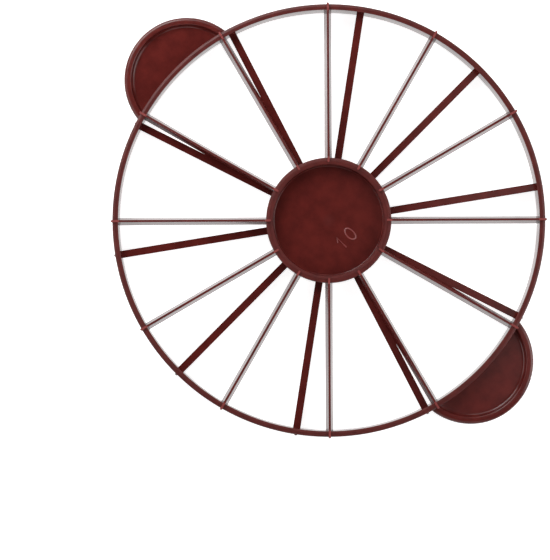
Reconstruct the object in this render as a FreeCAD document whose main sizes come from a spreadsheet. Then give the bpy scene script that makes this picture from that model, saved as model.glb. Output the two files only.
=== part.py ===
import FreeCAD, Part
import os
import Sketcher

# Cake portion marker: one plastic moulding, pressed into a cake to mark equal slices.
# It lies flat, with +Z up and its grips along X. Its origin is under the middle of the wheel,
# on the plane that its lower blades stand on. Sizes are millimetres and degrees.
#
# The moulding is a wheel that works on both faces. Twelve wedge blades stand up from the parting
# plane, half way up the wheel, and ten hang down from it, so their flat spines lie back to back.
# Every wall has draft away from that plane. Each blade is topped by a narrow fin, which runs on
# over the hub's ring at one end, and over the rim and down its outside at the other.

# Driving sizes: name, value, meaning.
SIZES = [
    ("rim_diameter", 270.0, "outside of the rim at the parting plane"),
    ("rim_wall", 4.1, "thickness of the rim at the parting plane"),
    ("ring_height", 18.0, "height of the rim and of the hub's ring, top to bottom"),
    ("hub_diameter", 78.5, "outside of the hub's ring at the parting plane"),
    ("hub_wall", 5.0, "thickness of the hub's ring at the parting plane"),
    ("web_thickness", 2.4, "plate that closes the hub and each grip"),
    ("upper_blades", 12, "blades on the upper face"),
    ("lower_blades", 10, "blades on the lower face"),
    ("blade_height", 10.0, "from the parting plane to a blade's edge"),
    ("spine_width", 4.6, "width of a blade at the parting plane"),
    ("edge_width", 1.4, "width of a fin at the blade's edge"),
    ("edge_land", 0.7, "how far a fin stands above its wedge's flanks"),
    ("edge_bevel", 0.3, "bevel along both sides of a fin's top"),
    ("fin_inset", 3.0, "how far a fin runs in over the hub's ring"),
    ("fin_overhang", 0.9, "how far a fin stands out of the rim"),
    ("overall_length", 328.0, "from the end of one grip to the end of the other"),
    ("grip_diameter", 78.5, "outside of a grip's bead at the parting plane"),
    ("grip_wall", 4.8, "thickness of the bead at the parting plane"),
    ("grip_height", 9.0, "height of the bead, top to bottom"),
    ("draft_angle", 1.5, "draft of every wall"),
    ("ring_bevel", 0.6, "bevel on the edges of the rim and of the hub's ring"),
    ("bead_bevel", 1.0, "bevel on the edges of a grip's bead"),
    ("hub_foot_bevel", 0.5, "bevel where the hub's web meets its ring"),
    ("grip_foot_bevel", 1.6, "bevel where a grip's web meets its bead"),
]

# Places and widths that follow from the driving sizes, as expressions for the features.
DRAFT = "tan(sizes.draft_angle * 1 deg)"
RING_TOP = "sizes.ring_height / 2"
WEB_TOP = "sizes.web_thickness / 2"
BEAD_TOP = "sizes.grip_height / 2"
RIM_RADIUS = "sizes.rim_diameter / 2"
RIM_INSIDE = f"({RIM_RADIUS} - sizes.rim_wall)"
RIM_MIDDLE = f"({RIM_RADIUS} - sizes.rim_wall / 2)"
HUB_RADIUS = "sizes.hub_diameter / 2"
HUB_INSIDE = f"({HUB_RADIUS} - sizes.hub_wall)"
HUB_MIDDLE = f"({HUB_RADIUS} - sizes.hub_wall / 2)"
BEAD_RADIUS = "sizes.grip_diameter / 2"
BEAD_INSIDE = f"({BEAD_RADIUS} - sizes.grip_wall)"
GRIP_CENTRE = f"(sizes.overall_length / 2 - {BEAD_RADIUS})"
FLANK_LEAN = "((sizes.spine_width - sizes.edge_width) / 2 / (sizes.blade_height - sizes.edge_land))"
CREST = "(sizes.blade_height - sizes.edge_land / 2)"
CREST_HALF = f"(sizes.spine_width / 2 - {CREST} * {FLANK_LEAN})"
FIN_SPREAD = f"(sizes.blade_height * {DRAFT})"
FIN_HALF = f"(sizes.edge_width / 2 + {FIN_SPREAD})"
FIN_START = f"({HUB_RADIUS} - {RING_TOP} * {DRAFT} - sizes.fin_inset - {FIN_SPREAD})"
FIN_END = f"({RIM_RADIUS} + sizes.fin_overhang)"

# The joins of long thin blades are exact only with a tolerance this fine.
JOIN_TOLERANCE = 0.00001

doc = FreeCAD.newDocument("cake_portion_marker")
sheet = doc.addObject("Spreadsheet::Sheet", "sizes")
for row, (alias, size, meaning) in enumerate(SIZES, start=1):
    sheet.set(f"A{row}", alias)
    sheet.set(f"B{row}", str(size))
    sheet.set(f"C{row}", meaning)
    sheet.setAlias(f"B{row}", alias)
doc.recompute()


def number(expression):
    """The number that an expression gives with the sheet's sizes."""
    return float(sheet.evalExpression(expression))


def origin_feature(body, role):
    """One of a body's own origin planes or axes."""
    return next(item for item in body.Origin.OriginFeatures if item.Role == role)


def new_sketch(body, name, plane, **shifts):
    """An empty sketch on an origin plane, shifted along that plane's own axes."""
    sketch = body.newObject("Sketcher::SketchObject", name)
    sketch.AttachmentSupport = (origin_feature(body, plane), [""])
    sketch.MapMode = "FlatFace"
    for axis, shift in shifts.items():
        sketch.setExpression(f"AttachmentOffset.Base.{axis}", shift)
    return sketch


def dimension(sketch, name, kind, *where, size):
    """A dimension of a sketch, bound to an expression of the sheet's sizes."""
    sketch.addConstraint(Sketcher.Constraint(kind, *where, number(size)))
    sketch.renameConstraint(sketch.ConstraintCount - 1, name)
    sketch.setExpression(f"Constraints.{name}", size)


def place_point(sketch, name, point, across, up):
    """Holds a point of a sketch at its place across and up, or on the axis where that is 0."""
    for kind, size, axis in (("DistanceX", across, -2), ("DistanceY", up, -1)):
        if size == "0":
            sketch.addConstraint(Sketcher.Constraint("PointOnObject", *point, axis))
        else:
            dimension(sketch, f"{name}_{kind}", kind, *point, size=size)


def draw_outline(sketch, corners):
    """Closed outline through corners, each with its name, its place across and its place up."""
    count = len(corners)
    places = [FreeCAD.Vector(number(across), number(up), 0) for _, across, up in corners]
    for index, place in enumerate(places):
        sketch.addGeometry(Part.LineSegment(place, places[(index + 1) % count]))
    for index in range(count):
        sketch.addConstraint(Sketcher.Constraint("Coincident", index, 2, (index + 1) % count, 1))
    for index, (name, across, up) in enumerate(corners):
        place_point(sketch, name, (index, 1), across, up)


def ring_outline(outside, inside, top, bevel):
    """Upper half of a ring's outline, from its outside over its top to its inside."""
    return [
        ("outside", outside, "0"),
        ("outer_side", f"{outside} - ({top} - {bevel}) * {DRAFT}", f"{top} - {bevel}"),
        ("outer_top", f"{outside} - {top} * {DRAFT} - {bevel}", top),
        ("inner_top", f"{inside} + {top} * {DRAFT} + {bevel}", top),
        ("inner_side", f"{inside} + ({top} - {bevel}) * {DRAFT}", f"{top} - {bevel}"),
    ]


def web_outline(inside, bevel):
    """What closes a ring's outline with a web: the bevelled foot of its wall, and its middle."""
    foot = f"({WEB_TOP} + {bevel})"
    return [
        ("foot_side", f"{inside} + {foot} * {DRAFT}", foot),
        ("foot_web", f"{inside} - {bevel}", WEB_TOP),
        ("middle", "0", WEB_TOP),
    ]


def with_lower_half(corners):
    """The corners of an outline's upper half, then the same corners below the parting plane."""
    below = [(f"{name}_below", across, f"-({up})") for name, across, up in corners if up != "0"]
    return corners + below[::-1]


def revolve(body, name, sketch):
    """A full turn of a sketch about its own upright axis."""
    feature = body.newObject("PartDesign::Revolution", name)
    feature.Profile = sketch
    feature.ReferenceAxis = (sketch, ["V_Axis"])
    feature.Angle = 360
    return feature


def pad(body, name, sketch, length):
    """A pad of a sketch, to a length given as an expression."""
    feature = body.newObject("PartDesign::Pad", name)
    feature.Profile = sketch
    feature.setExpression("Length", length)
    return feature


def draw_frame(frame):
    """The rim, the hub and both grips, in the body of the moulding."""

    # Each grip is a dish with a raised bead, of which the wheel leaves the outer half-moon.
    dish_sketch = new_sketch(frame, "dish_section", "XZ_Plane", x=GRIP_CENTRE)
    draw_outline(dish_sketch, with_lower_half(
        ring_outline(BEAD_RADIUS, BEAD_INSIDE, BEAD_TOP, "sizes.bead_bevel")
        + web_outline(BEAD_INSIDE, "sizes.grip_foot_bevel")
    ))
    dish = revolve(frame, "grip_dish", dish_sketch)
    opposite_dish = frame.newObject("PartDesign::Mirrored", "opposite_dish")
    opposite_dish.Originals = [dish]
    opposite_dish.MirrorPlane = (origin_feature(frame, "YZ_Plane"), [""])
    frame.Tip = opposite_dish
    wheel_sketch = new_sketch(frame, "wheel_circle", "XY_Plane")
    wheel_sketch.addGeometry(
        Part.Circle(FreeCAD.Vector(), FreeCAD.Vector(0, 0, 1), number(RIM_MIDDLE))
    )
    wheel_sketch.addConstraint(Sketcher.Constraint("Coincident", 0, 3, -1, 1))
    dimension(wheel_sketch, "radius", "Radius", 0, size=RIM_MIDDLE)
    clearance = frame.newObject("PartDesign::Pocket", "wheel_clearance")
    clearance.Profile = wheel_sketch
    clearance.Type = "ThroughAll"
    clearance.Midplane = True

    # The rim closes the straight side of both half-moons.
    rim_sketch = new_sketch(frame, "rim_section", "XZ_Plane")
    draw_outline(rim_sketch, with_lower_half(
        ring_outline(RIM_RADIUS, RIM_INSIDE, RING_TOP, "sizes.ring_bevel")
        + [("inside", RIM_INSIDE, "0")]
    ))
    revolve(frame, "rim", rim_sketch)

    # The hub is a ring round a recessed web, the same on both faces.
    hub_sketch = new_sketch(frame, "hub_section", "XZ_Plane")
    draw_outline(hub_sketch, with_lower_half(
        ring_outline(HUB_RADIUS, HUB_INSIDE, RING_TOP, "sizes.ring_bevel")
        + web_outline(HUB_INSIDE, "sizes.hub_foot_bevel")
    ))
    revolve(frame, "hub", hub_sketch)


def make_blades(side, count, roll):
    """The blades of one face in a body of their own, rolled over where they hang down."""
    blades = doc.addObject("PartDesign::Body", f"{side}_blades")
    # Half a pitch of turn leaves each grip half way between two blades.
    blades.setExpression(
        "Placement", f"placement(vector(0; 0; 0); rotation(180 / {count}; 0; {roll}))"
    )

    # The wedge is a flanked section that runs from the hub's ring into the rim.
    wedge_sketch = new_sketch(blades, f"{side}_wedge_section", "YZ_Plane", z=HUB_MIDDLE)
    draw_outline(wedge_sketch, [
        ("spine_right", "sizes.spine_width / 2", "0"),
        ("crest_right", CREST_HALF, CREST),
        ("crest_left", f"-{CREST_HALF}", CREST),
        ("spine_left", "-sizes.spine_width / 2", "0"),
    ])
    pad(blades, f"{side}_wedge", wedge_sketch, f"{RIM_MIDDLE} - {HUB_MIDDLE}")

    # The fin is a drafted plate, drawn in plan.
    fin_sketch = new_sketch(blades, f"{side}_fin_plan", "XY_Plane")
    draw_outline(fin_sketch, [
        ("start_right", FIN_START, f"-{FIN_HALF}"),
        ("end_right", FIN_END, f"-{FIN_HALF}"),
        ("end_left", FIN_END, FIN_HALF),
        ("start_left", FIN_START, FIN_HALF),
    ])
    fin = pad(blades, f"{side}_fin", fin_sketch, "sizes.blade_height")
    fin.FuzzyTolerance = JOIN_TOLERANCE
    fin.setExpression("TaperAngle", "-sizes.draft_angle")
    doc.recompute()

    edge_level = number("sizes.blade_height")
    edge = blades.newObject("PartDesign::Chamfer", f"{side}_edge")
    edge.Base = (fin, [
        f"Edge{index}"
        for index, line in enumerate(fin.Shape.Edges, start=1)
        if all(abs(vertex.Z - edge_level) < 0.001 for vertex in line.Vertexes)
    ])
    edge.setExpression("Size", "sizes.edge_bevel")
    doc.recompute()

    spread = blades.newObject("PartDesign::PolarPattern", f"{side}_spread")
    spread.TransformMode = "Whole shape"
    spread.Axis = (origin_feature(blades, "Z_Axis"), [""])
    spread.Angle = 360
    spread.setExpression("Occurrences", count)
    blades.Tip = spread
    return blades


marker = doc.addObject("PartDesign::Body", "marker")
marker.Label = "cake_marker"
draw_frame(marker)
join = marker.newObject("PartDesign::Boolean", "blades_joined")
join.Type = "Fuse"
join.FuzzyTolerance = JOIN_TOLERANCE
join.setObjects([
    make_blades("upper", "sizes.upper_blades", roll=0),
    make_blades("lower", "sizes.lower_blades", roll=180),
])
marker.setExpression("Placement.Base.z", "sizes.blade_height")
doc.recompute()

# Nothing is written unless every feature has worked.
for item in doc.Objects:
    if "Invalid" in item.State or "Error" in item.State:
        raise RuntimeError(f"{item.Label}: {item.State}")
shape = marker.Shape
if shape.isNull() or not shape.isValid() or len(shape.Solids) != 1:
    raise RuntimeError(f"{marker.Label} is not one valid solid")

os.makedirs("parts", exist_ok=True)
shape.exportStep(f"parts/{marker.Label}.step")
box = shape.optimalBoundingBox()
print(f"{marker.Label}: {box.XLength:.2f} x {box.YLength:.2f} x {box.ZLength:.2f} mm, "
      f"{shape.Volume:.0f} mm3, {len(shape.Faces)} faces")
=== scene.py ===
"""Looks of a double-faced cake marker: one glossy moulding with blades on both faces.

The marker's parts are modelled on their own, joined into one closed shell and dressed in one
moulded plastic. The shell replaces the plain solid of the same sizes.
"""

import logging
import math
from contextlib import contextmanager
from dataclasses import dataclass, field
from enum import Enum
from typing import Any, Callable, Iterator

import bmesh
import bpy
from mathutils import Matrix, Vector

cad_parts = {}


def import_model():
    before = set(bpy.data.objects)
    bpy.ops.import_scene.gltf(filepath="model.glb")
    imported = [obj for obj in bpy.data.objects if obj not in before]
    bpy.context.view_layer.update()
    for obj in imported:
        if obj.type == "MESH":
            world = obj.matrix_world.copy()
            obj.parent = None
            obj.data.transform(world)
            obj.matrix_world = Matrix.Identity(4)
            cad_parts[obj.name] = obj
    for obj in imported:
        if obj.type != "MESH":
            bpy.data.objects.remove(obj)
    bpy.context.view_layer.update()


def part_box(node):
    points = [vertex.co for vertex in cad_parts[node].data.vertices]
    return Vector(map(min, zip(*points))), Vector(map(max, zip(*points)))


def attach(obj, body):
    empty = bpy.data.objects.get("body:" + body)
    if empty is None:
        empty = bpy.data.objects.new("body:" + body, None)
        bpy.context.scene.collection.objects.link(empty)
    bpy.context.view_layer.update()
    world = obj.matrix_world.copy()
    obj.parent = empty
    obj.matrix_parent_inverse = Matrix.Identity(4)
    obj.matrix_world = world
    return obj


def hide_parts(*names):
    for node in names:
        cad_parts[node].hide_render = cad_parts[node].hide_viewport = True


LOG = logging.getLogger("cake_marker")

MM = 0.001
WHOLE_TURN = 2 * math.pi
TINY = 0.002 * MM
SMOOTH_ANGLE = math.radians(28)
FLAT_WEIGHT = 80
NODE = "cake_marker"
BODY = "root"

Test = Callable[[Vector], bool]


class Element(Enum):
    """What edit mode picks."""

    VERTEX = "VERT"
    EDGE = "EDGE"
    FACE = "FACE"


class Facing(Enum):
    """Which face of the wheel a set of blades or a number belongs to."""

    UP = 1
    DOWN = -1


def deselect_all() -> None:
    """Leaves nothing selected, the imported nodes included."""
    bpy.ops.object.select_all(action="DESELECT")


def select_only(*pieces: bpy.types.Object) -> None:
    """Selects these pieces alone.

    Args:
        pieces: what the next operator acts on; the first becomes the active one.
    """
    deselect_all()
    for piece in pieces:
        piece.select_set(True)
    bpy.context.view_layer.objects.active = pieces[0]


@contextmanager
def edit_mode(piece: bpy.types.Object) -> Iterator[None]:
    """Edit mode on one piece, with nothing picked at first.

    Args:
        piece: the piece to shape.
    """
    select_only(piece)
    bpy.ops.object.mode_set(mode="EDIT")
    bpy.ops.mesh.select_all(action="DESELECT")
    yield
    bpy.ops.object.mode_set(mode="OBJECT")


def pick(piece: bpy.types.Object, element: Element, test: Test) -> None:
    """Selects the elements of a piece in edit mode by their place, and no others.

    Args:
        piece: the piece in edit mode.
        element: whether vertices, edges or faces are picked.
        test: says whether an element is picked, from its vertex or its middle.
    """
    bpy.ops.mesh.select_mode(type=element.value)
    bpy.ops.mesh.select_all(action="DESELECT")
    mesh = bmesh.from_edit_mesh(piece.data)
    if element is Element.VERTEX:
        middles = [(vertex, vertex.co) for vertex in mesh.verts]
    elif element is Element.EDGE:
        middles = [(edge, (edge.verts[0].co + edge.verts[1].co) / 2) for edge in mesh.edges]
    else:
        middles = [(face, face.calc_center_median()) for face in mesh.faces]
    for part, middle in middles:
        if test(middle):
            part.select_set(True)
    mesh.select_flush_mode()
    bmesh.update_edit_mesh(piece.data)


def add_node(
    tree: bpy.types.NodeTree,
    kind: str,
    settings: dict[str, Any] | None = None,
    values: dict[str | int, Any] | None = None,
    links: dict[str | int, bpy.types.NodeSocket] | None = None,
) -> bpy.types.Node:
    """Adds one node of any kind to a material.

    Args:
        tree: the material's node tree.
        kind: the node's type name.
        settings: the node's own options, by name.
        values: plain values for input sockets, by the socket's name or place.
        links: output sockets that feed input sockets, by the input's name or place.

    Returns:
        The new node.
    """
    node = tree.nodes.new(kind)
    for name, value in (settings or {}).items():
        setattr(node, name, value)
    for name, value in (values or {}).items():
        node.inputs[name].default_value = value
    for name, source in (links or {}).items():
        tree.links.new(source, node.inputs[name])
    return node


def linear(colour: str) -> tuple[float, float, float, float]:
    """Turns an sRGB colour to the linear values that shaders use.

    Args:
        colour: six hex digits after a hash.

    Returns:
        Red, green, blue and full alpha.
    """
    channels = [int(colour[start:start + 2], 16) / 255 for start in (1, 3, 5)]
    red, green, blue = (
        value / 12.92 if value <= 0.04045 else ((value + 0.055) / 1.055) ** 2.4
        for value in channels
    )
    return red, green, blue, 1.0


@dataclass(frozen=True)
class Surface:
    """What the finish goes by at a point of the moulding, each as a node's output.

    Attributes:
        place: where the point is.
        level: how far it is from the parting plane.
        radius: how far it is from the axis.
        upright: 0 where the surface is a wall and 1 where it is level.
        number: 1 on the number and 0 beside it.
    """

    place: bpy.types.NodeSocket
    level: bpy.types.NodeSocket
    radius: bpy.types.NodeSocket
    upright: bpy.types.NodeSocket
    number: bpy.types.NodeSocket


@dataclass(frozen=True)
class MouldedPolypropylene:
    """Injection-moulded polypropylene, coloured in the mass.

    The webs and the walls come from polished faces of the mould, which release well and look wet.
    The tops come from a spark-eroded face, whose grain spreads the light into a soft sheen: a
    little on the grips' low beads, and fully on the rings and the fins. The fins' tops over the
    rings and the number's lines are painted paler, as a painted highlight where they catch the
    light. Faint clouds show where the melt flowed, and a pale spot at the hub's centre shows
    where it came in.

    Attributes:
        colour: the plastic's own colour.
        cloud_colour: the same where the melt flowed last.
        rubbed_colour: the same made paler, a painted highlight on the fins' tops and the number.
        gate_colour: the same at the spot where the melt came in.
        gate_share: how much of that colour shows at the spot's middle.
        gate_radius: radius of the spot.
        ior: polypropylene's index of refraction.
        polished: roughness of the webs and the walls.
        grained: roughness of the tops of the rings and the fins.
        wall_lean: upward part of a surface's direction up to which it is a wall.
        level_lean: the same from which it is level.
        polish_end: how far from the parting plane the polish ends.
        grain_start: how far from it the grain is whole.
        fin_foot: how far from it the fins stand clear of the rings, where their painted highlight
            starts.
        number_foot: how far from it the number stands clear of the web.
        number_reach: radius that the number stays within.
        blend: how far the painted highlight and the number's grain take to fade in.
        rings_inside: outside of the hub's ring, from the axis.
        rings_outside: inside of the rim, from the axis.
        cloud_size: width of a cloud.
        cloud_detail: how many times a cloud is broken up into finer ones.
        cloud_roughness: how strong the finer ones are.
        cloud_start: value of the clouds' noise where their colour starts.
        cloud_end: the same where it is whole.
        relief_detail: how many times the waves and the grains are broken up into finer ones.
        wave_size: width of the slow waves where the walls shrank as they cooled.
        wave_depth: how deep those waves are.
        grain_size: width of a grain. The real one is about 0.1 mm, too fine to show, so it is
            drawn coarser.
        grain_depth: how deep the grain is.
    """

    colour: str = "#561D1A"
    cloud_colour: str = "#64231F"
    rubbed_colour: str = "#8C403D"
    gate_colour: str = "#64302F"
    gate_share: float = 0.3
    gate_radius: float = 5.0 * MM
    ior: float = 1.49
    polished: float = 0.16
    grained: float = 0.40
    wall_lean: float = 0.35
    level_lean: float = 0.75
    polish_end: float = 3.0 * MM
    grain_start: float = 8.0 * MM
    fin_foot: float = 9.15 * MM
    number_foot: float = 1.3 * MM
    number_reach: float = 30.0 * MM
    blend: float = 0.2 * MM
    rings_inside: float = 39.6 * MM
    rings_outside: float = 130.6 * MM
    cloud_size: float = 9.0 * MM
    cloud_detail: float = 4.0
    cloud_roughness: float = 0.6
    cloud_start: float = 0.35
    cloud_end: float = 0.65
    relief_detail: float = 2.0
    wave_size: float = 14.0 * MM
    wave_depth: float = 0.03 * MM
    grain_size: float = 1.3 * MM
    grain_depth: float = 0.012 * MM

    def material(self, moulding: "Moulding") -> bpy.types.Material:
        """Builds the finish as a node material.

        Args:
            moulding: the sizes that the whole moulding shares.

        Returns:
            The material, patterned in Object coordinates.
        """
        material = bpy.data.materials.new("moulded_polypropylene")
        material.use_nodes = True
        tree = material.node_tree
        shader = tree.nodes["Principled BSDF"]
        shader.inputs["IOR"].default_value = self.ior
        surface = self.read_surface(tree, moulding)
        grain = self.grain_mask(tree, surface)
        self.add_colour(tree, shader, surface)
        self.add_gloss(tree, shader, grain)
        self.add_relief(tree, shader, surface, grain)
        return material

    def read_surface(self, tree: bpy.types.NodeTree, moulding: "Moulding") -> Surface:
        """Works out where a point is and which way it faces.

        Args:
            tree: the material's node tree.
            moulding: the sizes that the whole moulding shares.

        Returns:
            What the rest of the finish goes by.
        """
        coordinates = add_node(tree, "ShaderNodeTexCoord")
        place = coordinates.outputs["Object"]
        height = add_node(tree, "ShaderNodeSeparateXYZ", links={"Vector": place}).outputs["Z"]
        rise = add_node(
            tree, "ShaderNodeMath", settings={"operation": "SUBTRACT"}, links={0: height},
            values={1: moulding.parting},
        ).outputs[0]
        level = add_node(
            tree, "ShaderNodeMath", settings={"operation": "ABSOLUTE"}, links={0: rise},
        ).outputs[0]
        flat = add_node(
            tree, "ShaderNodeVectorMath", settings={"operation": "MULTIPLY"}, links={0: place},
            values={1: (1, 1, 0)},
        ).outputs["Vector"]
        radius = add_node(
            tree, "ShaderNodeVectorMath", settings={"operation": "LENGTH"}, links={0: flat},
        ).outputs["Value"]
        facing = add_node(
            tree, "ShaderNodeVectorMath", settings={"operation": "ABSOLUTE"},
            links={0: coordinates.outputs["Normal"]},
        ).outputs["Vector"]
        lean = add_node(tree, "ShaderNodeSeparateXYZ", links={"Vector": facing}).outputs["Z"]
        upright = add_node(
            tree, "ShaderNodeMapRange", links={"Value": lean},
            values={"From Min": self.wall_lean, "From Max": self.level_lean},
        ).outputs["Result"]
        in_hub = add_node(
            tree, "ShaderNodeMath", settings={"operation": "LESS_THAN"}, links={0: radius},
            values={1: self.number_reach},
        ).outputs[0]
        number = add_node(
            tree, "ShaderNodeMapRange", links={"Value": level, "To Max": in_hub},
            values={"From Min": self.number_foot, "From Max": self.number_foot + self.blend},
        ).outputs["Result"]
        return Surface(place, level, radius, upright, number)

    def grain_mask(self, tree: bpy.types.NodeTree, surface: Surface) -> bpy.types.NodeSocket:
        """Works out where the surface is grained.

        Args:
            tree: the material's node tree.
            surface: what the finish goes by.

        Returns:
            0 on a polished face and 1 on a fully grained one.
        """
        tops = add_node(
            tree, "ShaderNodeMapRange", links={"Value": surface.level, "To Max": surface.upright},
            values={"From Min": self.polish_end, "From Max": self.grain_start},
        ).outputs["Result"]
        return add_node(
            tree, "ShaderNodeMath", settings={"operation": "MAXIMUM"},
            links={0: tops, 1: surface.number},
        ).outputs[0]

    def add_colour(self, tree: bpy.types.NodeTree, shader: bpy.types.Node,
                   surface: Surface) -> None:
        """Adds the clouds, the gate's spot and the painted highlight on the fins and the number to
        the colour.

        Args:
            tree: the material's node tree.
            shader: its shader.
            surface: what the finish goes by.
        """
        flow = add_node(
            tree, "ShaderNodeTexNoise", links={"Vector": surface.place},
            values={
                "Scale": 1 / self.cloud_size,
                "Detail": self.cloud_detail,
                "Roughness": self.cloud_roughness,
            },
        ).outputs[0]
        clouds = add_node(
            tree, "ShaderNodeMapRange", links={"Value": flow},
            values={"From Min": self.cloud_start, "From Max": self.cloud_end},
        ).outputs["Result"]
        gate = add_node(
            tree, "ShaderNodeMapRange", links={"Value": surface.radius},
            values={"From Max": self.gate_radius, "To Min": self.gate_share, "To Max": 0.0},
        ).outputs["Result"]
        near_hub, near_rim = (
            add_node(
                tree, "ShaderNodeMath", settings={"operation": operation},
                links={0: surface.radius}, values={1: limit},
            ).outputs[0]
            for operation, limit in (
                ("LESS_THAN", self.rings_inside), ("GREATER_THAN", self.rings_outside),
            )
        )
        on_ring = add_node(
            tree, "ShaderNodeMath", settings={"operation": "ADD"}, links={0: near_hub, 1: near_rim},
        ).outputs[0]
        # Painted highlight: the fins' tops, where they stand over the rings, are painted paler.
        fins = add_node(
            tree, "ShaderNodeMapRange", links={"Value": surface.level, "To Max": on_ring},
            values={"From Min": self.fin_foot, "From Max": self.fin_foot + self.blend},
        ).outputs["Result"]
        mixed = add_node(
            tree, "ShaderNodeMix", settings={"data_type": "RGBA"}, links={"Factor": clouds},
            values={"A": linear(self.colour), "B": linear(self.cloud_colour)},
        ).outputs["Result"]
        # The last two colours are a painted highlight on the fins' tops and on the number's lines.
        for share, colour in (
            (gate, self.gate_colour),
            (fins, self.rubbed_colour),
            (surface.number, self.rubbed_colour),
        ):
            mixed = add_node(
                tree, "ShaderNodeMix", settings={"data_type": "RGBA"},
                links={"Factor": share, "A": mixed}, values={"B": linear(colour)},
            ).outputs["Result"]
        tree.links.new(mixed, shader.inputs["Base Color"])

    def add_gloss(self, tree: bpy.types.NodeTree, shader: bpy.types.Node,
                  grain: bpy.types.NodeSocket) -> None:
        """Adds the polish of the webs and the walls, and the sheen of the rest.

        Args:
            tree: the material's node tree.
            shader: its shader.
            grain: 0 on a polished face and 1 on a fully grained one.
        """
        roughness = add_node(
            tree, "ShaderNodeMapRange", links={"Value": grain},
            values={"To Min": self.polished, "To Max": self.grained},
        ).outputs["Result"]
        tree.links.new(roughness, shader.inputs["Roughness"])

    def add_relief(self, tree: bpy.types.NodeTree, shader: bpy.types.Node, surface: Surface,
                   grain: bpy.types.NodeSocket) -> None:
        """Adds the slow waves and the grain as bump.

        Args:
            tree: the material's node tree.
            shader: its shader.
            surface: what the finish goes by.
            grain: 0 on a polished face and 1 on a fully grained one.
        """
        waves, grains = (
            add_node(
                tree, "ShaderNodeTexNoise", links={"Vector": surface.place},
                values={"Scale": 1 / size, "Detail": self.relief_detail},
            ).outputs[0]
            for size in (self.wave_size, self.grain_size)
        )
        waved = add_node(
            tree, "ShaderNodeBump", links={"Height": waves},
            values={"Strength": 1.0, "Distance": self.wave_depth},
        ).outputs["Normal"]
        relief = add_node(
            tree, "ShaderNodeBump", links={"Height": grains, "Strength": grain, "Normal": waved},
            values={"Distance": self.grain_depth},
        ).outputs["Normal"]
        tree.links.new(relief, shader.inputs["Normal"])


@dataclass(frozen=True)
class Moulding:
    """What every part of the moulding shares.

    Attributes:
        parting: height of the plane where the mould's halves meet.
        draft: how far a wall leans for each unit that it rises from that plane.
        web: thickness of the plates that close the hub and the grips.
        round_steps: faces across each rounded edge.
    """

    parting: float = 10.0 * MM
    draft: float = math.tan(math.radians(1.5))
    web: float = 2.4 * MM
    round_steps: int = 5


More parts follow.
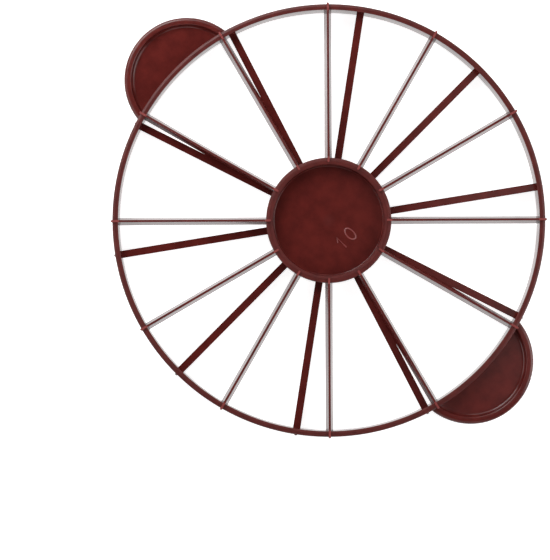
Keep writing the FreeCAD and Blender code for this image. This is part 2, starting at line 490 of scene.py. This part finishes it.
@dataclass(frozen=True)
class Ring:
    """A drafted ring on both sides of the parting plane, drawn as a section and spun.

    Attributes:
        name: the piece's name.
        radius: outside of the ring at the parting plane.
        wall: its thickness there.
        height: from its bottom to its top.
        outer_round: radius of both edges on its outside.
        inner_round: radius of both edges on its inside.
        steps: faces round a whole turn.
        foot_round: radius where a web meets it, or 0 where it has no web.
        crown: how far its top and bottom rise from their edges to their middle.
        centre: how far its axis stands from the origin along X.
    """

    name: str
    radius: float
    wall: float
    height: float
    outer_round: float
    inner_round: float
    steps: int
    foot_round: float = 0.0
    crown: float = 0.0
    centre: float = 0.0

    def build(self, moulding: Moulding) -> bpy.types.Object:
        """Models the ring.

        Args:
            moulding: the sizes that the whole moulding shares.

        Returns:
            The closed ring, or dish where it has a web.
        """
        inside = self.radius - self.wall
        top = self.height / 2
        bpy.ops.mesh.primitive_plane_add(
            size=1,
            location=(self.radius - self.wall / 2, 0, moulding.parting),
            rotation=(math.pi / 2, 0, 0),
        )
        ring = bpy.context.object
        ring.name = self.name
        ring.scale = (self.wall, self.height, 1)
        bpy.ops.object.transform_apply(location=True, rotation=True, scale=True)

        with edit_mode(ring):
            self.cut_level(moulding.parting)
            for sign, side in ((-1, self.radius), (1, inside)):
                pick(ring, Element.VERTEX, lambda at: abs(at.x - side) < TINY
                     and abs(at.z - moulding.parting) > TINY)
                bpy.ops.transform.translate(value=(sign * top * moulding.draft, 0, 0))
            if self.crown:
                self.raise_crown(ring, moulding)
            if self.foot_round:
                self.add_web(ring, moulding)
            self.round_corners(ring, moulding)
            bpy.ops.mesh.select_all(action="SELECT")
            bpy.ops.mesh.delete(type="ONLY_FACE")
            bpy.ops.mesh.select_all(action="SELECT")
            bpy.ops.mesh.spin(
                steps=self.steps, angle=WHOLE_TURN, center=(0, 0, 0), axis=(0, 0, 1),
                use_auto_merge=True,
            )
            bpy.ops.mesh.select_all(action="SELECT")
            bpy.ops.mesh.remove_doubles(threshold=TINY)
            bpy.ops.mesh.select_all(action="SELECT")
            bpy.ops.mesh.normals_make_consistent(inside=False)
            bpy.ops.transform.translate(value=(self.centre, 0, 0))
        return ring

    @staticmethod
    def cut_level(level: float) -> None:
        """Adds points to the whole section at one level.

        Args:
            level: height of the cut.
        """
        bpy.ops.mesh.select_all(action="SELECT")
        bpy.ops.mesh.bisect(plane_co=(0, 0, level), plane_no=(0, 0, 1))

    def raise_crown(self, ring: bpy.types.Object, moulding: Moulding) -> None:
        """Lowers the corners, so that the top and the bottom are gently crowned.

        Args:
            ring: the section in edit mode.
            moulding: the sizes that the whole moulding shares.
        """
        middle = self.radius - self.wall / 2
        top = self.height / 2
        bpy.ops.mesh.select_all(action="SELECT")
        bpy.ops.mesh.bisect(plane_co=(middle, 0, 0), plane_no=(1, 0, 0))
        for side in (-1, 1):
            pick(ring, Element.VERTEX, lambda at: (at.z - moulding.parting) * side > top - TINY
                 and abs(at.x - middle) > TINY)
            bpy.ops.transform.translate(value=(0, 0, -side * self.crown))

    def add_web(self, ring: bpy.types.Object, moulding: Moulding) -> None:
        """Extrudes the section inwards, to the axis, between the web's two faces.

        Args:
            ring: the section in edit mode.
            moulding: the sizes that the whole moulding shares.
        """
        half = moulding.web / 2
        self.cut_level(moulding.parting + half)
        self.cut_level(moulding.parting - half)
        inner_eighth = self.radius - self.wall * 7 / 8
        pick(ring, Element.EDGE, lambda at: at.x < inner_eighth
             and abs(at.z - moulding.parting) < half)
        bpy.ops.mesh.extrude_region_move()
        bpy.ops.transform.resize(value=(0, 1, 1), center_override=(0, 0, 0))

    def round_corners(self, ring: bpy.types.Object, moulding: Moulding) -> None:
        """Rounds the section's corners, after its inner lines are dissolved.

        Args:
            ring: the section in edit mode.
            moulding: the sizes that the whole moulding shares.
        """
        bpy.ops.mesh.select_mode(type=Element.FACE.value)
        bpy.ops.mesh.select_all(action="SELECT")
        bpy.ops.mesh.dissolve_faces(use_verts=False)
        top = self.height / 2
        edge_level = top - self.crown
        middle = self.radius - self.wall / 2
        crown_round = self.wall / 8
        rounds: list[tuple[float, Test]] = [
            (self.outer_round, lambda at: abs(at.z - moulding.parting) > edge_level - TINY
             and at.x > middle + TINY),
            (self.inner_round, lambda at: abs(at.z - moulding.parting) > edge_level - TINY
             and at.x < middle - TINY),
        ]
        if self.crown:
            rounds.insert(0, (
                crown_round, lambda at: abs(at.z - moulding.parting) > top - TINY,
            ))
        if self.foot_round:
            inside = self.radius - self.wall
            rounds.append((
                self.foot_round,
                lambda at: abs(abs(at.z - moulding.parting) - moulding.web / 2) < TINY
                and at.x > inside / 2
            ))
        for size, corner in rounds:
            pick(ring, Element.VERTEX, corner)
            bpy.ops.mesh.bevel(
                offset=size, segments=moulding.round_steps, affect="VERTICES",
            )


@dataclass(frozen=True)
class Grips:
    """Two half-moon grips: dishes with a raised bead, of which the wheel covers a part.

    Attributes:
        dish: the whole dish that one grip is cut from, standing on the positive X side.
        wheel_radius: radius of the wheel's clearance in it.
    """

    dish: Ring
    wheel_radius: float

    def build(self, moulding: Moulding) -> list[bpy.types.Object]:
        """Models both grips.

        Args:
            moulding: the sizes that the whole moulding shares.

        Returns:
            The two grips.
        """
        near = self.dish.build(moulding)
        clear_depth = 4 * self.dish.height
        bpy.ops.mesh.primitive_cylinder_add(
            vertices=self.dish.steps * 2, radius=self.wheel_radius, depth=clear_depth,
            location=(0, 0, moulding.parting),
        )
        cutter = bpy.context.object
        cut(near, cutter)
        select_only(near)
        bpy.ops.object.duplicate()
        far = bpy.context.object
        far.name = f"{near.name}_opposite"
        with edit_mode(far):
            bpy.ops.mesh.select_all(action="SELECT")
            bpy.ops.transform.rotate(
                value=math.pi, orient_axis="Z", center_override=(0, 0, 0),
            )
        return [near, far]


@dataclass(frozen=True)
class BladeSet:
    """The blades of one face: drafted wedges, each topped by a narrow fin.

    Attributes:
        name: what the set is called.
        facing: the face that it stands on.
        count: how many blades it has.
        start: where a wedge starts, from the axis.
        end: where a wedge ends.
        fin_start: where a fin starts.
        fin_end: where a fin ends.
        height: from the parting plane to the edge.
        spine: width at the parting plane.
        edge: width of the fin at the edge.
        land: how far the fin stands above the wedge's flanks.
        edge_round: radius along both sides of the fin's top.
        edge_steps: faces across that radius.
        tip_round: radius of a fin's ends, as a share of its width; a half is a full round.
        tip_steps: faces round each corner of a fin's ends.
    """

    name: str
    facing: Facing
    count: int
    start: float
    end: float
    fin_start: float
    fin_end: float
    height: float = 10.0 * MM
    spine: float = 4.6 * MM
    edge: float = 1.4 * MM
    land: float = 0.7 * MM
    edge_round: float = 0.12 * MM
    edge_steps: int = 3
    tip_round: float = 0.46
    tip_steps: int = 4

    def build(self, moulding: Moulding) -> list[bpy.types.Object]:
        """Models one blade and copies it round the wheel.

        Args:
            moulding: the sizes that the whole moulding shares.

        Returns:
            Every wedge and every fin of the set.
        """
        first = [self.wedge(moulding), self.fin(moulding)]
        for piece in first:
            with edit_mode(piece):
                bpy.ops.mesh.select_all(action="SELECT")
                if self.facing is Facing.DOWN:
                    bpy.ops.transform.rotate(
                        value=math.pi, orient_axis="X", center_override=(0, 0, moulding.parting),
                    )
                bpy.ops.transform.rotate(
                    value=math.pi / self.count, orient_axis="Z", center_override=(0, 0, 0),
                )
        blades = list(first)
        for turn in range(1, self.count):
            for original in first:
                select_only(original)
                bpy.ops.object.duplicate()
                blade = bpy.context.object
                with edit_mode(blade):
                    bpy.ops.mesh.select_all(action="SELECT")
                    bpy.ops.transform.rotate(
                        value=WHOLE_TURN * turn / self.count, orient_axis="Z",
                        center_override=(0, 0, 0),
                    )
                blades.append(blade)
        return blades

    def bar(self, name: str, start: float, end: float, width: float,
            moulding: Moulding) -> bpy.types.Object:
        """Adds a plain bar along X, standing on the parting plane.

        Args:
            name: what the bar is called.
            start: where it starts along X.
            end: where it ends.
            width: across it.
            moulding: the sizes that the whole moulding shares.

        Returns:
            The bar, ready to be shaped.
        """
        bpy.ops.mesh.primitive_cube_add(
            size=1, location=((start + end) / 2, 0, moulding.parting + self.height / 2),
        )
        bar = bpy.context.object
        bar.name = f"{self.name}_{name}"
        bar.scale = (end - start, width, self.height)
        bpy.ops.object.transform_apply(location=True, rotation=True, scale=True)
        return bar

    def wedge(self, moulding: Moulding) -> bpy.types.Object:
        """Models the wedge, whose flanks lean in until only the fin is left.

        Args:
            moulding: the sizes that the whole moulding shares.

        Returns:
            The wedge along X.
        """
        wedge = self.bar("wedge", self.start, self.end, self.spine, moulding)
        crest = self.height - self.land / 2
        lean = (self.spine - self.edge) / 2 / (self.height - self.land)
        narrow = (self.spine - 2 * crest * lean) / self.spine
        top = moulding.parting + self.height
        with edit_mode(wedge):
            pick(wedge, Element.FACE, lambda at: at.z > top - TINY)
            bpy.ops.transform.resize(value=(1, narrow, 1), center_override=(0, 0, top))
            bpy.ops.transform.translate(value=(0, 0, crest - self.height))
        return wedge

    def fin(self, moulding: Moulding) -> bpy.types.Object:
        """Models the fin, with draft on its sides and round ends.

        Args:
            moulding: the sizes that the whole moulding shares.

        Returns:
            The fin along X.
        """
        spread = self.height * moulding.draft
        width = self.edge + 2 * spread
        fin = self.bar("fin", self.fin_start, self.fin_end, width, moulding)
        length = self.fin_end - self.fin_start
        middle = (self.fin_end + self.fin_start) / 2
        top = moulding.parting + self.height
        with edit_mode(fin):
            pick(fin, Element.EDGE, lambda at: abs(at.y) > width / 2 - TINY
                 and abs(at.x - middle) > length / 2 - TINY)
            bpy.ops.mesh.bevel(
                offset=self.tip_round * width, segments=self.tip_steps, affect="EDGES",
            )
            pick(fin, Element.VERTEX, lambda at: at.z > top - TINY)
            bpy.ops.transform.resize(
                value=(1 - 2 * spread / length, self.edge / width, 1),
                center_override=(middle, 0, top),
            )
            pick(fin, Element.EDGE, lambda at: at.z > top - TINY)
            bpy.ops.mesh.bevel(
                offset=self.edge_round, segments=self.edge_steps, affect="EDGES",
            )
        return fin


@dataclass(frozen=True)
class Stroke:
    """One raised line of a number, on a plan where the number's up is +Y.

    Attributes:
        points: the line's places, in the number's height and from its middle.
        closed: whether its end joins its start.
    """

    points: tuple[tuple[float, float], ...]
    closed: bool = False


def oval(half_width: float, half_height: float, points: int) -> Stroke:
    """The closed line of a nought.

    Args:
        half_width: half the oval's width, in the number's height.
        half_height: half its height.
        points: how many places it has.

    Returns:
        The stroke.
    """
    angles = [WHOLE_TURN * index / points for index in range(points)]
    return Stroke(
        tuple((half_width * math.cos(a), half_height * math.sin(a)) for a in angles), closed=True,
    )


def hook(radius: float, half_height: float, points: int) -> Stroke:
    """The line of a two: an arc over the top, a slope to the foot and the foot itself.

    Args:
        radius: radius of the arc, in the number's height.
        half_height: half the number's height.
        points: how many places the arc has.

    Returns:
        The stroke.
    """
    start, end = math.radians(170), math.radians(-40)
    angles = [start + (end - start) * index / (points - 1) for index in range(points)]
    arc = [
        (radius * math.cos(a), half_height - radius + radius * math.sin(a)) for a in angles
    ]
    return Stroke((*arc, (-radius, -half_height), (radius, -half_height)))


DIGITS: dict[str, tuple[Stroke, ...]] = {
    "0": (oval(0.25, 0.45, 24),),
    "1": (Stroke(((-0.20, 0.17), (0.0, 0.45), (0.0, -0.45))),),
    "2": (hook(0.24, 0.45, 12),),
}


@dataclass(frozen=True)
class Number:
    """A plain number raised in thin lines on one face of the hub's web.

    Attributes:
        name: the piece's name.
        digits: what it says.
        facing: the face that it stands on.
        middle_x: where its middle is along X; its up is +X.
        middle_y: where its middle is along Y.
        height: of a digit.
        pitch: from one digit's middle to the next.
        line: width of its lines.
        line_steps: how finely they are rounded.
        rise: how far they stand above the web.
    """

    name: str
    digits: str
    facing: Facing
    middle_x: float = -15.45 * MM
    middle_y: float = 0.1 * MM
    height: float = 9.5 * MM
    pitch: float = 7.6 * MM
    line: float = 1.25 * MM
    line_steps: int = 2
    rise: float = 0.4 * MM

    def build(self, moulding: Moulding) -> list[bpy.types.Object]:
        """Models the lines of every digit.

        Args:
            moulding: the sizes that the whole moulding shares.

        Returns:
            One closed piece for each line.
        """
        pieces = []
        reach = (len(self.digits) - 1) / 2
        for place, digit in enumerate(self.digits):
            for stroke in DIGITS[digit]:
                pieces.append(self.line_piece(stroke, (place - reach) * self.pitch, moulding))
        return pieces

    def line_piece(self, stroke: Stroke, across: float,
                   moulding: Moulding) -> bpy.types.Object:
        """Models one line as a round bar that is half sunk in the web.

        Args:
            stroke: the line's places.
            across: where its digit's middle is, to the number's right.
            moulding: the sizes that the whole moulding shares.

        Returns:
            The closed bar.
        """
        curve = bpy.data.curves.new(f"{self.name}_line", "CURVE")
        curve.dimensions = "3D"
        spline = curve.splines.new("POLY")
        spline.points.add(len(stroke.points) - 1)
        level = moulding.web / 2 + self.rise - self.line / 2
        side = self.facing.value
        for point, (right, up) in zip(spline.points, stroke.points):
            point.co = (
                self.middle_x + up * self.height,
                self.middle_y - side * (across + right * self.height),
                moulding.parting + side * level,
                1,
            )
        spline.use_cyclic_u = stroke.closed
        curve.bevel_depth = self.line / 2
        curve.bevel_resolution = self.line_steps
        curve.use_fill_caps = not stroke.closed
        piece = bpy.data.objects.new(f"{self.name}_line", curve)
        bpy.context.scene.collection.objects.link(piece)
        select_only(piece)
        bpy.ops.object.convert(target="MESH")
        with edit_mode(piece):
            bpy.ops.mesh.select_all(action="SELECT")
            bpy.ops.mesh.remove_doubles(threshold=TINY)
            bpy.ops.mesh.normals_make_consistent(inside=False)
        return piece


def cut(piece: bpy.types.Object, cutter: bpy.types.Object) -> None:
    """Takes one closed shape out of another.

    Args:
        piece: what is cut.
        cutter: what is taken out of it, and then removed.
    """
    apply_boolean(piece, "DIFFERENCE", cutter)
    bpy.data.objects.remove(cutter)


def apply_boolean(piece: bpy.types.Object, operation: str, other: bpy.types.Object) -> None:
    """Joins or cuts two closed shapes by a modifier that is applied.

    Args:
        piece: the shape that is changed.
        operation: UNION or DIFFERENCE.
        other: the shape that it is changed with.
    """
    modifier = piece.modifiers.new("shape", "BOOLEAN")
    modifier.operation = operation
    modifier.solver = "MANIFOLD"
    modifier.object = other
    select_only(piece)
    bpy.ops.object.modifier_apply(modifier=modifier.name)


def join_parts(parts: list[bpy.types.Object]) -> bpy.types.Object:
    """Joins closed shapes that run into each other into one closed shell.

    Args:
        parts: the shapes; the first becomes the shell.

    Returns:
        The shell.
    """
    shell, *others = parts
    for other in others:
        apply_boolean(shell, "UNION", other)
        bpy.data.objects.remove(other)
    return shell


def finish_shell(shell: bpy.types.Object) -> None:
    """Smooths the curved faces and keeps the flat ones flat in their shading.

    Args:
        shell: the whole moulding.
    """
    select_only(shell)
    bpy.ops.object.shade_smooth_by_angle(angle=SMOOTH_ANGLE)
    weighted = shell.modifiers.new("flat_faces", "WEIGHTED_NORMAL")
    weighted.keep_sharp = True
    weighted.weight = FLAT_WEIGHT
    bpy.ops.object.modifier_apply(modifier=weighted.name)


@dataclass(frozen=True)
class Marker:
    """The whole moulding.

    Attributes:
        moulding: the sizes that its parts share.
        finish: the plastic that it is made of.
        rim_radius: outside of the rim at the parting plane.
        rim_wall: its thickness there.
        ring_height: height of the rim and of the hub's ring.
        hub_radius: outside of the hub's ring at the parting plane.
        hub_wall: its thickness there.
        grip_radius: outside of a grip's bead at the parting plane.
        grip_wall: its thickness there.
        grip_height: from its bottom to its top.
        grip_end: how far the end of a grip is from the axis.
        fin_inset: how far a fin runs in over the hub's ring.
        fin_overhang: how far a fin stands out of the rim.
        upper_count: number of blades on the upper face; the lower web says it.
        lower_count: number of blades on the lower face; the upper web says it.
    """

    grip_end: float
    moulding: Moulding = field(default_factory=Moulding)
    finish: MouldedPolypropylene = field(default_factory=MouldedPolypropylene)
    rim_radius: float = 135.0 * MM
    rim_wall: float = 4.1 * MM
    ring_height: float = 18.0 * MM
    hub_radius: float = 39.25 * MM
    hub_wall: float = 5.0 * MM
    grip_radius: float = 39.25 * MM
    grip_wall: float = 4.8 * MM
    grip_height: float = 9.0 * MM
    fin_inset: float = 3.0 * MM
    fin_overhang: float = 0.9 * MM
    upper_count: int = 12
    lower_count: int = 10

    def rim(self) -> Ring:
        """The outer ring."""
        return Ring(
            "rim", self.rim_radius, self.rim_wall, self.ring_height,
            outer_round=0.8 * MM, inner_round=0.3 * MM, crown=0.35 * MM, steps=360,
        )

    def hub(self) -> Ring:
        """The hub's ring with its web."""
        return Ring(
            "hub", self.hub_radius, self.hub_wall, self.ring_height,
            outer_round=0.4 * MM, inner_round=1.2 * MM, foot_round=0.5 * MM, crown=0.35 * MM,
            steps=180,
        )

    def grips(self) -> Grips:
        """Both grips."""
        dish = Ring(
            "grip", self.grip_radius, self.grip_wall, self.grip_height,
            outer_round=2.0 * MM, inner_round=0.9 * MM, foot_round=2.2 * MM, steps=180,
            centre=self.grip_end - self.grip_radius,
        )
        return Grips(dish, self.rim_radius - self.rim_wall / 2)

    def blades(self, name: str, facing: Facing, count: int) -> BladeSet:
        """The blades of one face.

        Args:
            name: what the set is called.
            facing: the face that it stands on.
            count: how many blades it has.

        Returns:
            The set.
        """
        lean = self.ring_height / 2 * self.moulding.draft
        spread = BladeSet.height * self.moulding.draft
        return BladeSet(
            name, facing, count,
            start=self.hub_radius - self.hub_wall / 2,
            end=self.rim_radius - self.rim_wall / 2,
            fin_start=self.hub_radius - lean - self.fin_inset - spread,
            fin_end=self.rim_radius + self.fin_overhang,
        )

    def build(self) -> bpy.types.Object:
        """Models every part and joins them.

        Returns:
            The closed shell of the moulding.
        """
        parts = [
            self.rim().build(self.moulding),
            self.hub().build(self.moulding),
            *self.grips().build(self.moulding),
            *self.blades("upper", Facing.UP, self.upper_count).build(self.moulding),
            *self.blades("lower", Facing.DOWN, self.lower_count).build(self.moulding),
            *Number("upper_number", str(self.lower_count), Facing.UP).build(self.moulding),
            *Number("lower_number", str(self.upper_count), Facing.DOWN).build(self.moulding),
        ]
        LOG.info("%d shapes to join", len(parts))
        shell = join_parts(parts)
        shell.name = "moulding"
        shell.data.name = "moulding"
        return shell

    def dress(self, shell: bpy.types.Object) -> None:
        """Gives the shell its finish and its place in the frame.

        Args:
            shell: the closed shell of the moulding.
        """
        finish_shell(shell)
        shell.data.materials.clear()
        shell.data.materials.append(self.finish.material(self.moulding))
        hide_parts(NODE)
        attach(shell, BODY)


@dataclass(frozen=True)
class Softbox:
    """One square area light that faces the object.

    Attributes:
        name: what the light is called.
        azimuth: where it stands in the picture, in degrees from its right-hand side.
        elevation: how high it stands, in degrees.
        distance: from the object's middle.
        size: length of its side.
        watts: its power.
    """

    name: str
    azimuth: float
    elevation: float
    distance: float
    size: float
    watts: float

    def build(self, right: float) -> None:
        """Adds the light.

        Args:
            right: where the picture's right-hand side lies, in radians from +X.
        """
        turn = right + math.radians(self.azimuth)
        tilt = math.radians(self.elevation)
        place = self.distance * Vector((
            math.cos(tilt) * math.cos(turn), math.cos(tilt) * math.sin(turn), math.sin(tilt),
        ))
        data = bpy.data.lights.new(self.name, "AREA")
        data.shape = "SQUARE"
        data.size = self.size
        data.energy = self.watts
        light = bpy.data.objects.new(self.name, data)
        light.location = place
        light.rotation_euler = place.to_track_quat("Z", "Y").to_euler()
        bpy.context.scene.collection.objects.link(light)


@dataclass(frozen=True)
class Studio:
    """The pale floor, the soft lights and the camera above.

    Attributes:
        distance: from the camera to the plane of the blades' edges.
        foot: the place on the object that the camera stands over.
        aim: the place in the middle of the picture.
        top: height of the plane that foot and aim lie in.
        grip_angle: where +X points in the picture, in degrees from its right-hand side.
        frame_height: what the picture shows of that plane, top to bottom.
        floor_radius: of the floor.
        floor_sides: how many sides its outline has.
        floor_colour: the floor's own colour, which shows its shadows.
        floor_glow: what the camera sees of the floor on top of its lit colour.
        floor_reflection: what the gloss sees of it on top of that colour.
        wall_strength: how bright the room's walls are.
        ceiling_strength: how bright its ceiling is.
        wall_end: how high the walls reach before they fade, in degrees.
        ceiling_start: how high the ceiling starts.
        softboxes: the lights.
    """

    distance: float = 1.4
    foot: tuple[float, float] = (-15.5 * MM, 57.2 * MM)
    aim: tuple[float, float] = (-2.4 * MM, 49.97 * MM)
    top: float = 20.0 * MM
    grip_angle: float = 135.26
    frame_height: float = 347.95 * MM
    floor_radius: float = 6.0
    floor_sides: int = 96
    floor_colour: str = "#E6E6E6"
    floor_glow: float = 0.88
    floor_reflection: float = 0.8
    wall_strength: float = 0.12
    ceiling_strength: float = 0.02
    wall_end: float = 50.0
    ceiling_start: float = 65.0
    softboxes: tuple[Softbox, ...] = (
        Softbox("key", 128.0, 36.0, 0.6, 0.4, 2.2),
        Softbox("upper", 100.0, 45.0, 1.3, 0.8, 3.0),
        Softbox("left", 190.0, 40.0, 1.3, 0.8, 3.0),
        Softbox("right", -10.0, 30.0, 0.6, 0.4, 1.0),
        Softbox("far_right", 0.0, 40.0, 1.3, 0.8, 2.6),
        Softbox("lower", 270.0, 40.0, 1.3, 0.8, 1.8),
        Softbox("overhead", 9.0, 75.0, 1.45, 0.42, 0.28),
    )

    def build(self) -> None:
        """Adds the floor, the room, the lights and the camera."""
        self.add_floor()
        self.add_room()
        for softbox in self.softboxes:
            softbox.build(math.radians(-self.grip_angle))
            LOG.info("%s light: %.1f W", softbox.name, softbox.watts)
        self.add_camera()

    def add_camera(self) -> None:
        """Adds the camera, nearly straight above and turned as the picture is."""
        eye = Vector((*self.foot, self.top + self.distance))
        target = Vector((*self.aim, self.top))
        turn = math.radians(-self.grip_angle)
        right_wanted = Vector((math.cos(turn), math.sin(turn), 0))
        back = (eye - target).normalized()
        up = back.cross(right_wanted).normalized()
        right = up.cross(back)
        data = bpy.data.cameras.new("camera")
        data.sensor_fit = "AUTO"
        data.lens_unit = "FOV"
        data.angle = 2 * math.atan(self.frame_height / 2 / (eye - target).length)
        camera = bpy.data.objects.new("camera", data)
        camera.matrix_world = Matrix((
            (right.x, up.x, back.x, eye.x),
            (right.y, up.y, back.y, eye.y),
            (right.z, up.z, back.z, eye.z),
            (0, 0, 0, 1),
        ))
        bpy.context.scene.collection.objects.link(camera)
        bpy.context.scene.camera = camera

    def add_floor(self) -> None:
        """Adds a wide white floor that keeps the object's shadow."""
        bpy.ops.mesh.primitive_circle_add(
            vertices=self.floor_sides, radius=self.floor_radius, fill_type="NGON",
        )
        floor = bpy.context.object
        floor.name = "floor"
        material = bpy.data.materials.new("white_floor")
        material.use_nodes = True
        tree = material.node_tree
        shader = tree.nodes["Principled BSDF"]
        shader.inputs["Base Color"].default_value = linear(self.floor_colour)
        shader.inputs["Roughness"].default_value = 1.0
        shader.inputs["Specular IOR Level"].default_value = 0.0
        rays = add_node(tree, "ShaderNodeLightPath")
        reflected = add_node(
            tree, "ShaderNodeMath", settings={"operation": "MULTIPLY"},
            links={0: rays.outputs["Is Glossy Ray"]}, values={1: self.floor_reflection},
        )
        strength = add_node(
            tree, "ShaderNodeMath", settings={"operation": "MULTIPLY_ADD"},
            links={0: rays.outputs["Is Camera Ray"], 2: reflected.outputs[0]},
            values={1: self.floor_glow},
        )
        glow = add_node(tree, "ShaderNodeEmission", links={"Strength": strength.outputs[0]})
        total = add_node(
            tree, "ShaderNodeAddShader", links={0: shader.outputs[0], 1: glow.outputs[0]},
        )
        tree.links.new(total.outputs[0], tree.nodes["Material Output"].inputs["Surface"])
        floor.data.materials.append(material)

    def add_room(self) -> None:
        """Adds pale walls all round, which fade to a dark ceiling over the object."""
        world = bpy.data.worlds.new("room")
        world.use_nodes = True
        tree = world.node_tree
        direction = add_node(tree, "ShaderNodeTexCoord").outputs["Generated"]
        height = add_node(tree, "ShaderNodeSeparateXYZ", links={"Vector": direction}).outputs["Z"]
        fade = add_node(
            tree, "ShaderNodeMapRange", settings={"interpolation_type": "SMOOTHSTEP"},
            links={"Value": height},
            values={
                "From Min": math.sin(math.radians(self.wall_end)),
                "From Max": math.sin(math.radians(self.ceiling_start)),
                "To Min": self.wall_strength,
                "To Max": self.ceiling_strength,
            },
        )
        rays = add_node(tree, "ShaderNodeLightPath")
        strength = add_node(
            tree, "ShaderNodeMix", settings={"data_type": "FLOAT"},
            links={"Factor": rays.outputs["Is Camera Ray"], "A": fade.outputs["Result"]},
            values={"B": 1.0},
        )
        background = tree.nodes["Background"]
        background.inputs["Color"].default_value = (1, 1, 1, 1)
        tree.links.new(strength.outputs["Result"], background.inputs["Strength"])
        bpy.context.scene.world = world


def main() -> None:
    """Builds the marker around its frame, and the studio round it."""
    logging.basicConfig(level=logging.INFO, format="%(name)s: %(message)s")
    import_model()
    _, far_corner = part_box(NODE)
    bpy.context.scene.view_settings.view_transform = "Standard"
    marker = Marker(grip_end=far_corner[0])
    shell = marker.build()
    marker.dress(shell)
    LOG.info("moulding: %d faces", len(shell.data.polygons))
    Studio().build()


if __name__ == "__main__":
    main()
